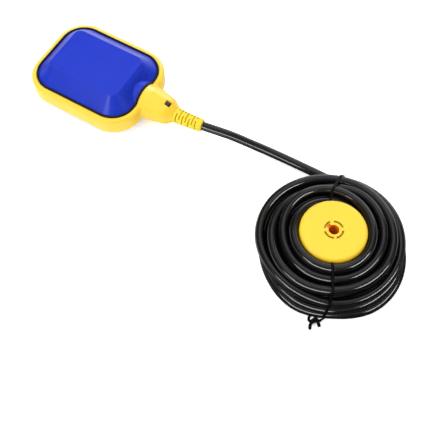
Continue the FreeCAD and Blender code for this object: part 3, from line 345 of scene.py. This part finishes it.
M["core_blue"] = plastic("core_blue", (0.02, 0.08, 0.45, 1.0), 0.1, (0.35, 0.5))
M["ball_steel"] = metal("ball_steel", (0.62, 0.62, 0.64, 1.0), (0.08, 0.16))
M["plain_steel"] = metal("plated_steel", (0.55, 0.55, 0.56, 1.0), (0.25, 0.4), (1.0, 6.0, 1.0))
M["contact_brass"] = metal("contact_brass", (0.72, 0.50, 0.20, 1.0), (0.22, 0.36), (6.0, 1.0, 1.0))
M["bare_copper"] = metal("bare_copper", (0.78, 0.38, 0.22, 1.0), (0.25, 0.4), (1.0, 1.0, 8.0))
M["black_lead"] = plastic("black_sheath", (0.0030, 0.0030, 0.0034, 1.0), 0.25, (0.14, 0.19), 1500.0, 0.00002, 0.10, 0.58, 120.0)
M["black_tie"] = plastic("black_tie", (0.0022, 0.0022, 0.0026, 1.0), 0.2, (0.42, 0.55), 2000.0, 0.00003, 0.3, 0.16)

for name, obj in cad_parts.items():
    for s in obj.material_slots:
        base = s.material.name.split(".")[0] if s.material else ""
        if base in M:
            s.material = M[base]
        else:
            print("NO MATERIAL FOR", name, base)

cable.data.materials.append(M["black_lead"])
# painted shade: the collet deep in the neck's window is coloured near-black, darker lower down, for the shadow in the
# window; its nub at the top is a dark navy
collet = shaded("collet_blue", None, [(0.0285, (0.004, 0.004, 0.008)), (0.0296, (0.008, 0.007, 0.016)), (0.0301, (0.035, 0.030, 0.12))],
                lambda nt: object_xyz(nt).outputs["Z"])
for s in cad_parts["neck_sleeve"].material_slots:
    s.material = collet


# ------------------------------------------------------------------ pieces
def mesh_piece(name, verts, faces, mat, body="float_case", angle=35.0):
    me = bpy.data.meshes.new(name)
    me.from_pydata([Vector(v) * MM for v in verts], [], faces)
    me.validate()
    me.update()
    me.materials.append(mat)
    for q in me.polygons:
        q.use_smooth = True
    me.set_sharp_from_angle(angle=math.radians(angle))
    o = bpy.data.objects.new(name, me)
    scene.collection.objects.link(o)
    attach(o, body)
    return o


# The bend relief: a tapered sleeve bent to the side, with rows of slots cut deep
# into it, in turn at the sides and at the top and bottom.
BOOT_X, BOOT_LEN, BOOT_BEND = 76.4, 24.6, 175.0
SEG = 72


def boot_point(s, rad, k):
    t = max(s, 0.0) / BOOT_BEND
    x = BOOT_X + (BOOT_BEND * math.sin(t) if s > 0.0 else s)
    y = BOOT_BEND * (1.0 - math.cos(t))
    a = 2.0 * math.pi * k / SEG
    side, up = rad * math.sin(a), rad * math.cos(a)
    return (x - side * math.sin(t), y + side * math.cos(t), 20.0 + up)


def boot_rad(s):
    return 6.25 if s < 1.5 else 6.25 - 0.95 * (s - 1.5) / (BOOT_LEN - 2.4)


SLOT_W, SLOT_PITCH, SLOT_FIRST, INNER, SLOT_FLOOR = 1.0, 2.80, 2.7, 3.72, 4.35
slot_edges = []
stations = [(-5.0, INNER), (-5.0, 7.6), (-3.0, 7.6), (-3.0, 5.0), (0.0, 5.0), (0.0, 6.0), (0.12, 6.2), (0.5, 6.25), (1.5, 6.25)]
for i in range(7):
    m = SLOT_FIRST + i * SLOT_PITCH
    for e in (m - SLOT_W / 2, m + SLOT_W / 2):
        stations.append((e, boot_rad(e)))
    slot_edges.append(len(stations) - 2)
for e in (21.0, 22.0, 23.2):
    stations.append((e, boot_rad(e)))
stations += [(23.7, 5.28), (24.1, 5.16), (24.4, 4.95), (24.6, 4.55), (24.6, INNER), (21.2, INNER)]
verts = [boot_point(s, r, k) for s, r in stations for k in range(SEG)]
faces = []
open_cells = set()
for i, st in enumerate(slot_edges):
    for k in range(SEG):
        mid = (k + 0.5) * 360.0 / SEG
        turned = mid if i % 2 else mid + 90.0
        d = min((turned % 180.0), 180.0 - (turned % 180.0))
        if d < (60.0 if i % 2 else 74.0):
            open_cells.add((st, k))
for j in range(len(stations) - 1):
    for k in range(SEG):
        if (j, k) not in open_cells:
            k1 = (k + 1) % SEG
            faces.append((j * SEG + k, j * SEG + k1, (j + 1) * SEG + k1, (j + 1) * SEG + k))
low = {}


def inner_vert(j, k):
    if (j, k) not in low:
        low[(j, k)] = len(verts)
        verts.append(boot_point(stations[j][0], SLOT_FLOOR, k))
    return low[(j, k)]


for j, k in sorted(open_cells):
    k1 = (k + 1) % SEG
    faces.append((j * SEG + k1, j * SEG + k, inner_vert(j, k), inner_vert(j, k1)))
    faces.append(((j + 1) * SEG + k, (j + 1) * SEG + k1, inner_vert(j + 1, k1), inner_vert(j + 1, k)))
    faces.append((inner_vert(j, k), inner_vert(j, k1), inner_vert(j + 1, k1), inner_vert(j + 1, k)))
    if (j, (k - 1) % SEG) not in open_cells:
        faces.append((j * SEG + k, (j + 1) * SEG + k, inner_vert(j + 1, k), inner_vert(j, k)))
    if (j, k1) not in open_cells:
        faces.append(((j + 1) * SEG + k1, j * SEG + k1, inner_vert(j, k1), inner_vert(j + 1, k1)))
boot = mesh_piece("boot", verts, faces, M["yellow_boot"])
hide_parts("bend_relief")

# ------------------------------------------------------------------ twist ties
# centreline of the cable, for the ties that go round its turns
line = []
for i in range(len(cable_points) - 2):
    p0, p1, p2 = (Vector(cable_points[i + k]) for k in range(3))
    a, c = (p0 + p1) / 2, (p1 + p2) / 2
    for t in (0.0, 0.25, 0.5, 0.75):
        line.append(a * (1 - t) ** 2 + p1 * 2 * t * (1 - t) + c * t * t)


def crossings(az, reach=99.0):
    """Radius and height of every pass of the cable at this azimuth about the coil."""
    u = Vector((math.cos(math.radians(az)), math.sin(math.radians(az)), 0.0))
    w = Vector((-u.y, u.x, 0.0))
    mid = Vector((COIL_X, COIL_Y, 0.0))
    out = []
    for p, q in zip(line, line[1:]):
        dp, dq = (p - mid).dot(w), (q - mid).dot(w)
        if dp * dq <= 0.0 and dp != dq and (p - mid).dot(u) > 0.0:
            t = dp / (dp - dq)
            v = p.lerp(q, t)
            if (v - mid).dot(u) < reach:
                out.append(((v - mid).dot(u), v.z))
    return out


def hull(points):
    pts = sorted(set(points))
    rows = []
    for seq in (pts, pts[::-1]):
        h = []
        for q in seq:
            while len(h) > 1 and (h[-1][0] - h[-2][0]) * (q[1] - h[-2][1]) - (h[-1][1] - h[-2][1]) * (q[0] - h[-2][0]) <= 0:
                h.pop()
            h.append(q)
        rows.append(h[:-1])
    return rows[0] + rows[1]


def curve_through(pts, step):
    """Even points on a smooth line through pts."""
    fine = []
    n = len(pts)
    for i in range(n - 1):
        a, b, c, d = (Vector(pts[max(0, min(n - 1, i + k))]) for k in (-1, 0, 1, 2))
        m = max(2, int((c - b).length / (step * 0.25)))
        for j in range(m):
            t = j / m
            fine.append(0.5 * (2 * b + (c - a) * t + (2 * a - 5 * b + 4 * c - d) * t * t + (3 * b - a - 3 * c + d) * t ** 3))
    fine.append(Vector(pts[-1]))
    out, left = [fine[0]], step
    for p, q in zip(fine, fine[1:]):
        d = (q - p).length
        while d >= left > 0:
            p = p.lerp(q, left / d)
            out.append(p)
            d = (q - p).length
            left = step
        left -= d
    out.append(fine[-1])
    return out


# a flat strip with a wire down its middle
STRIP = [(-1.05, 0.0), (-0.95, 0.34), (-0.62, 0.48), (-0.34, 0.60), (0.0, 0.66), (0.34, 0.60), (0.62, 0.48), (0.95, 0.34),
         (1.05, 0.0), (0.95, -0.32), (0.5, -0.44), (-0.5, -0.44), (-0.95, -0.32)]


def strip(name, path, inside, stubs=(0.0, 0.0)):
    """Strip along path, its flat side towards the line of inside points.
    The stubs, in mm from the first and the last end, are folded double and so thicker."""
    n = len(STRIP)
    verts, faces = [], []
    m = len(path)
    prev = None
    for i, p in enumerate(path):
        t = (path[min(i + 1, m - 1)] - path[max(i - 1, 0)]).normalized()
        out = p - inside(p)
        out = out - t * out.dot(t)
        if prev is not None:
            out = out.normalized() * 0.35 + (prev - t * prev.dot(t)).normalized() * 0.65
        out = (out - t * out.dot(t)).normalized()
        prev = out
        w = t.cross(out)
        end = min(i, m - 1 - i)
        k = (0.60, 0.90, 1.0)[min(end, 2)]
        fold = i * 0.8 < stubs[0] or (m - 1 - i) * 0.8 < stubs[1]
        thick, wide = (1.45, 1.22) if fold else (1.0, 1.0)
        for a, b in STRIP:
            q = p + w * a * k * wide + out * b * k * thick
            verts.append(Vector((q.x, q.y, max(q.z, 0.02))))
        if i:
            for j in range(n):
                j1 = (j + 1) % n
                faces.append(((i - 1) * n + j, (i - 1) * n + j1, i * n + j1, i * n + j))
    faces.append(tuple(range(n))[::-1])
    faces.append(tuple((m - 1) * n + j for j in range(n)))
    return mesh_piece(name, verts, faces, M["black_tie"], angle=50.0)


def polar(r, az, z):
    return Vector((COIL_X + r * math.cos(math.radians(az)), COIL_Y + r * math.sin(math.radians(az)), z))


def table(rows, r):
    for (r0, a0), (r1, a1) in zip(rows, rows[1:]):
        if r <= r1:
            t = max(0.0, (r - r0) / (r1 - r0))
            return a0 + (a1 - a0) * t
    return rows[-1][1]


def tie_loop(az, over, under, reach=99.0):
    """The part of a tie that lies on the coil, from the outside over the top, down the inside and back below."""
    pts = []
    for r, z in crossings(az, reach):
        for k in range(40):
            a = 2.0 * math.pi * k / 40
            pts.append((round(r + 3.95 * math.cos(a), 3), round(z + 3.95 * math.sin(a), 3)))
    h = hull(pts)
    # start at the outside, a little above the floor
    k = max(range(len(h)), key=lambda i: h[i][0] - 0.35 * h[i][1])
    h = h[k:] + h[:k]
    out = []
    top = max(range(len(h)), key=lambda i: h[i][1])
    inner = min(range(len(h)), key=lambda i: h[i][0] + 0.2 * h[i][1])
    for i, (r, z) in enumerate(h):
        z = max(z, 0.3)
        out.append(polar(r, table(over, r) if i <= inner else table(under, r), z))
    mid = [sum(q[k] for q in h) / len(h) for k in (0, 1)]
    return out, mid


loop, mid = tie_loop(-64.5, [(26.0, -66.0), (36.0, -64.2), (44.0, -63.4), (53.0, -64.5), (57.5, -67.2), (62.0, -68.5)],
                     [(26.0, -66.0), (45.0, -70.0), (56.0, -77.0), (62.0, -77.2)])
ends_a = [polar(67.4, -74.9, 1.2), polar(65.0, -75.4, 1.6), polar(62.9, -75.2, 2.3), polar(61.7, -73.9, 3.1), polar(60.7, -71.8, 3.7), polar(60.0, -69.8, 3.9)]
ends_b = [polar(57.8, -77.6, 0.9), polar(60.2, -77.3, 1.4), polar(61.4, -76.2, 2.0), polar(60.4, -74.6, 2.8), polar(59.0, -73.2, 3.9),
          polar(58.8, -72.2, 4.2), polar(59.9, -71.3, 3.4), polar(61.6, -70.3, 2.2), polar(63.8, -69.2, 1.2)]
loop = [q for q in loop if math.hypot(q.x - COIL_X, q.y - COIL_Y) < 57.9 or q.z > 5.0]
path = curve_through(ends_a + loop + ends_b, 0.8)
front_mid = polar(mid[0], -66.0, mid[1])
tie_a = strip("twist_tie_front", path, lambda p: p - Vector((0.0, 0.0, 1.0)) if math.hypot(p.x - COIL_X, p.y - COIL_Y) > 59.4 else front_mid, (5.6, 15.0))
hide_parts("tie_front")

loop, mid = tie_loop(111.0, [(26.0, 121.0), (30.3, 119.2), (39.5, 115.1), (44.2, 111.8), (56.0, 107.4), (62.0, 106.6)],
                     [(26.0, 121.0), (45.0, 114.0), (62.0, 108.5)], 54.5)
loop = [q for q in loop if q.z > 17.0 or math.hypot(q.x - COIL_X, q.y - COIL_Y) < 54.0]
ends_a = [polar(56.7, 105.4, 20.2), polar(56.4, 106.3, 20.8), polar(55.8, 107.2, 21.2)]
ends_b = [polar(55.4, 108.4, 8.0), polar(56.2, 108.2, 13.0), polar(56.7, 107.9, 17.6), polar(57.0, 107.2, 19.4), polar(57.2, 106.7, 20.0)]
path = curve_through(ends_a + loop + ends_b, 0.8)
back_mid = polar(mid[0], 111.0, mid[1])
tie_b = strip("twist_tie_back", path, lambda p: back_mid)
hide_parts("tie_back")

# ------------------------------------------------------------------ seal
# the rounded lip of the upper seal, all round the lid and over the neck
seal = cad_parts["upper_seal"]
seal_tree = BVHTree.FromPolygons([seal.matrix_world @ v.co for v in seal.data.vertices], [tuple(q.vertices) for q in seal.data.polygons])
half_x, half_y, corner = 45.8, 35.3, 19.3
ring = []
for cx, cy, a0 in ((1, 1, 0.0), (-1, 1, 90.0), (-1, -1, 180.0), (1, -1, 270.0)):
    for k in range(19):
        a = math.radians(a0 + 5.0 * k)
        ring.append(((half_x - corner) * cx + corner * math.cos(a), (half_y - corner) * cy + corner * math.sin(a)))
path = []
for (x0, y0), (x1, y1) in zip(ring, ring[1:] + ring[:1]):
    n = max(1, int(math.hypot(x1 - x0, y1 - y0) / 0.7))
    for k in range(n):
        x, y = x0 + (x1 - x0) * k / n, y0 + (y1 - y0) * k / n
        hit = seal_tree.ray_cast(Vector((x, y, 60.0)) * MM, Vector((0.0, 0.0, -1.0)))
        path.append(Vector((x, y, hit[0].z / MM if hit[0] else 28.45)))
verts, faces = [], []
for i, p in enumerate(path):
    t = (path[(i + 1) % len(path)] - path[i - 1]).normalized()
    w = t.cross(Vector((0.0, 0.0, 1.0))).normalized()
    u = w.cross(t)
    for k in range(12):
        a = 2.0 * math.pi * k / 12
        verts.append(p + w * 0.84 * math.cos(a) + u * (0.62 * math.sin(a) + 0.05))
    j = (i + 1) % len(path)
    for k in range(12):
        faces.append((i * 12 + k, i * 12 + (k + 1) % 12, j * 12 + (k + 1) % 12, j * 12 + k))
lip = mesh_piece("seal_lip", verts, faces, M["black_seal"], angle=70.0)

# ------------------------------------------------------------------ ribs of the lid
# fine ribs down the lid's slope above the neck
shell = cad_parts["upper_shell"]
tree = BVHTree.FromPolygons([shell.matrix_world @ v.co for v in shell.data.vertices], [tuple(q.vertices) for q in shell.data.polygons])


def lid(x, y):
    hit = tree.ray_cast(Vector((x, y, 60.0)) * MM, Vector((0.0, 0.0, -1.0)))
    return hit[0].z / MM


verts, faces = [], []
RIB = [(-0.42, -0.12), (-0.30, 0.20), (-0.12, 0.34), (0.12, 0.34), (0.30, 0.20), (0.42, -0.12)]
slope_a, slope_b = lid(35.4, 0.0), lid(37.4, 0.0)
fall = (slope_a - slope_b) / 2.0
up = Vector((fall, 0.0, 1.0)).normalized()
for j in range(-12, 12):
    y = (j + 0.5) * 1.3
    xs = []
    x = 34.9
    while x < 43.2 and abs(lid(x, y) - (slope_a - fall * (x - 35.4))) < 0.12:
        xs.append(x)
        x += 0.7
    if len(xs) < 3:
        continue
    base = len(verts)
    for i, x in enumerate(xs):
        k = 0.25 if i in (0, len(xs) - 1) else 1.0
        p = Vector((x, y, lid(x, y)))
        for a, b in RIB:
            verts.append(p + Vector((0.0, a * (0.6 if k < 1.0 else 1.0), 0.0)) + up * (b * k - (0.06 if k < 1.0 else 0.0)))
        if i:
            for q in range(len(RIB) - 1):
                r0, r1 = base + (i - 1) * len(RIB), base + i * len(RIB)
                faces.append((r0 + q, r0 + q + 1, r1 + q + 1, r1 + q))
    faces.append(tuple(base + q for q in range(len(RIB)))[::-1])
    faces.append(tuple(base + (len(xs) - 1) * len(RIB) + q for q in range(len(RIB))))
ribs = mesh_piece("lid_ribs", verts, faces, M["blue_shell"], angle=60.0)

# ------------------------------------------------------------------ floor and light
bm = bmesh.new()
bmesh.ops.create_grid(bm, x_segments=2, y_segments=2, size=3.0)
mesh = bpy.data.meshes.new("floor")
bm.to_mesh(mesh)
bm.free()
floor = bpy.data.objects.new("floor", mesh)
scene.collection.objects.link(floor)
floor.location.z = -0.0003
fm, nt, b = new_mat("studio_floor")
n = noise(nt, 3.0, 2.0)
r = ramp(nt, n.outputs["Fac"], [(0.3, (0.96, 0.96, 0.96)), (0.7, (0.98, 0.98, 0.98))])
nt.links.new(r.outputs["Color"], b.inputs["Base Color"])
b.inputs["Roughness"].default_value = 0.9
b.inputs["Specular IOR Level"].default_value = 0.1
b.inputs["Emission Color"].default_value = (1.0, 1.0, 1.0, 1.0)
b.inputs["Emission Strength"].default_value = 0.45
# painted reflection: for glossy rays the floor is an emission, dim in front (painted shade) and bright towards the
# back and the left
place = nt.nodes.new("ShaderNodeNewGeometry")
place_y = nt.nodes.new("ShaderNodeSeparateXYZ")
nt.links.new(place.outputs["Position"], place_y.inputs["Vector"])
behind = span(nt, place_y.outputs["Y"], 0.010, 0.075, 0.0, 1.0)
left_x = span(nt, place_y.outputs["X"], 0.195, 0.175, 0.0, 1.0)
left_y = span(nt, place_y.outputs["Y"], -0.012, -0.030, 0.0, 1.0)
left = nt.nodes.new("ShaderNodeMath")
left.operation = "MULTIPLY"
nt.links.new(left_x.outputs["Result"], left.inputs[0])
nt.links.new(left_y.outputs["Result"], left.inputs[1])
either_side = nt.nodes.new("ShaderNodeMath")
either_side.operation = "MAXIMUM"
nt.links.new(behind.outputs["Result"], either_side.inputs[0])
nt.links.new(left.outputs["Value"], either_side.inputs[1])
painted_reflection_ramp = ramp(nt, either_side.outputs["Value"], [(0.0, (0.06, 0.06, 0.06)), (1.0, (1.0, 1.0, 1.0))])
painted_reflection_glow = nt.nodes.new("ShaderNodeEmission")
nt.links.new(painted_reflection_ramp.outputs["Color"], painted_reflection_glow.inputs["Color"])
painted_reflection_glow.inputs["Strength"].default_value = 1.3
path_kind = nt.nodes.new("ShaderNodeLightPath")
either = nt.nodes.new("ShaderNodeMixShader")
nt.links.new(path_kind.outputs["Is Glossy Ray"], either.inputs["Fac"])
nt.links.new(b.outputs["BSDF"], either.inputs[1])
nt.links.new(painted_reflection_glow.outputs["Emission"], either.inputs[2])
nt.links.new(either.outputs["Shader"], next(q for q in nt.nodes if q.type == "OUTPUT_MATERIAL").inputs["Surface"])
mesh.materials.append(fm)

world = bpy.data.worlds.new("studio")
world.use_nodes = True
scene.world = world
wt = world.node_tree
wt.nodes.clear()
w_out = wt.nodes.new("ShaderNodeOutputWorld")
bg = wt.nodes.new("ShaderNodeBackground")
w_tc = wt.nodes.new("ShaderNodeTexCoord")
w_xyz = wt.nodes.new("ShaderNodeSeparateXYZ")
wt.links.new(w_tc.outputs["Generated"], w_xyz.inputs["Vector"])
w_ramp = ramp(wt, w_xyz.outputs["Z"], [(0.0, (0.10, 0.10, 0.10)), (0.45, (0.16, 0.16, 0.16)), (0.75, (0.85, 0.85, 0.85)), (1.0, (1.1, 1.1, 1.1))])
wt.links.new(w_ramp.outputs["Color"], bg.inputs["Color"])
bg.inputs["Strength"].default_value = 0.35
# beyond the floor's edge the studio is as pale as the floor
bg_pale = wt.nodes.new("ShaderNodeBackground")
bg_pale.inputs["Color"].default_value = (0.93, 0.93, 0.93, 1.0)
w_path = wt.nodes.new("ShaderNodeLightPath")
w_mix = wt.nodes.new("ShaderNodeMixShader")
wt.links.new(w_path.outputs["Is Camera Ray"], w_mix.inputs[0])
wt.links.new(bg.outputs["Background"], w_mix.inputs[1])
wt.links.new(bg_pale.outputs["Background"], w_mix.inputs[2])
wt.links.new(w_mix.outputs[0], w_out.inputs["Surface"])


def area(name, az, el, dist, w, h, power, target=(0.17, -0.02, 0.015), gloss=True, matt=True):
    """Soft light seen from target at az, el. gloss: shows in glossy surfaces; matt: lights plain ones."""
    d = bpy.data.lights.new(name, "AREA")
    d.shape = "RECTANGLE"
    d.size = w
    d.size_y = h
    d.energy = power
    o = bpy.data.objects.new(name, d)
    scene.collection.objects.link(o)
    a, e = math.radians(az), math.radians(el)
    t = Vector(target)
    o.location = t + dist * Vector((math.cos(e) * math.cos(a), math.cos(e) * math.sin(a), math.sin(e)))
    o.rotation_euler = (t - o.location).to_track_quat("-Z", "Y").to_euler()
    o.visible_glossy = gloss
    o.visible_diffuse = matt
    return o


COIL_MID = (COIL_X * MM, COIL_Y * MM, 0.02)
# wide soft light for the colours
area("top", -150.0, 66.0, 1.6, 2.2, 2.2, 28.0, gloss=False)
area("side_right", 8.0, 38.0, 1.5, 0.8, 0.3, 7.0, gloss=False)
area("side_left", -113.0, 31.0, 1.5, 0.5, 0.4, 6.0, gloss=False)
# strips and panels that show in the gloss of the lead
area("band", 120.0, 70.0, 1.6, 1.1, 1.1, 2.5, COIL_MID, matt=False)
strip_right = area("strip_right", 4.0, 38.0, 1.5, 1.05, 0.22, 13.5, matt=False)
area("strip_left", -115.0, 31.0, 0.85, 0.22, 0.15, 1.2, COIL_MID, matt=False)
strip_front = area("strip_front", -79.0, 22.0, 1.2, 1.02, 0.36, 10.5, (0.15, 0.012, 0.01), matt=False)
area("backdrop", 98.0, 22.0, 1.5, 1.6, 0.9, 7.6)
# pale rim along the belt's back edge, and fill for the lid's back slope
rim_back = area("rim_back", 128.0, 22.0, 1.5, 2.2, 0.7, 32.0, (0.0, 0.0, 0.02), matt=False)
fill_back = area("fill_back", 98.0, 20.0, 1.5, 1.2, 0.6, 9.5, (0.0, 0.0, 0.03), gloss=False)


def light_only(light, *objects):
    """Let the light fall on these objects only."""
    receivers = bpy.data.collections.new(light.name + "_on")
    for o in objects:
        receivers.objects.link(o)
    light.light_linking.receiver_collection = receivers


light_only(strip_right, cable)
light_only(strip_front, cable)
light_only(rim_back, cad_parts["belt_frame"])
light_only(fill_back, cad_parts["upper_shell"])

scene.view_settings.view_transform = "Standard"
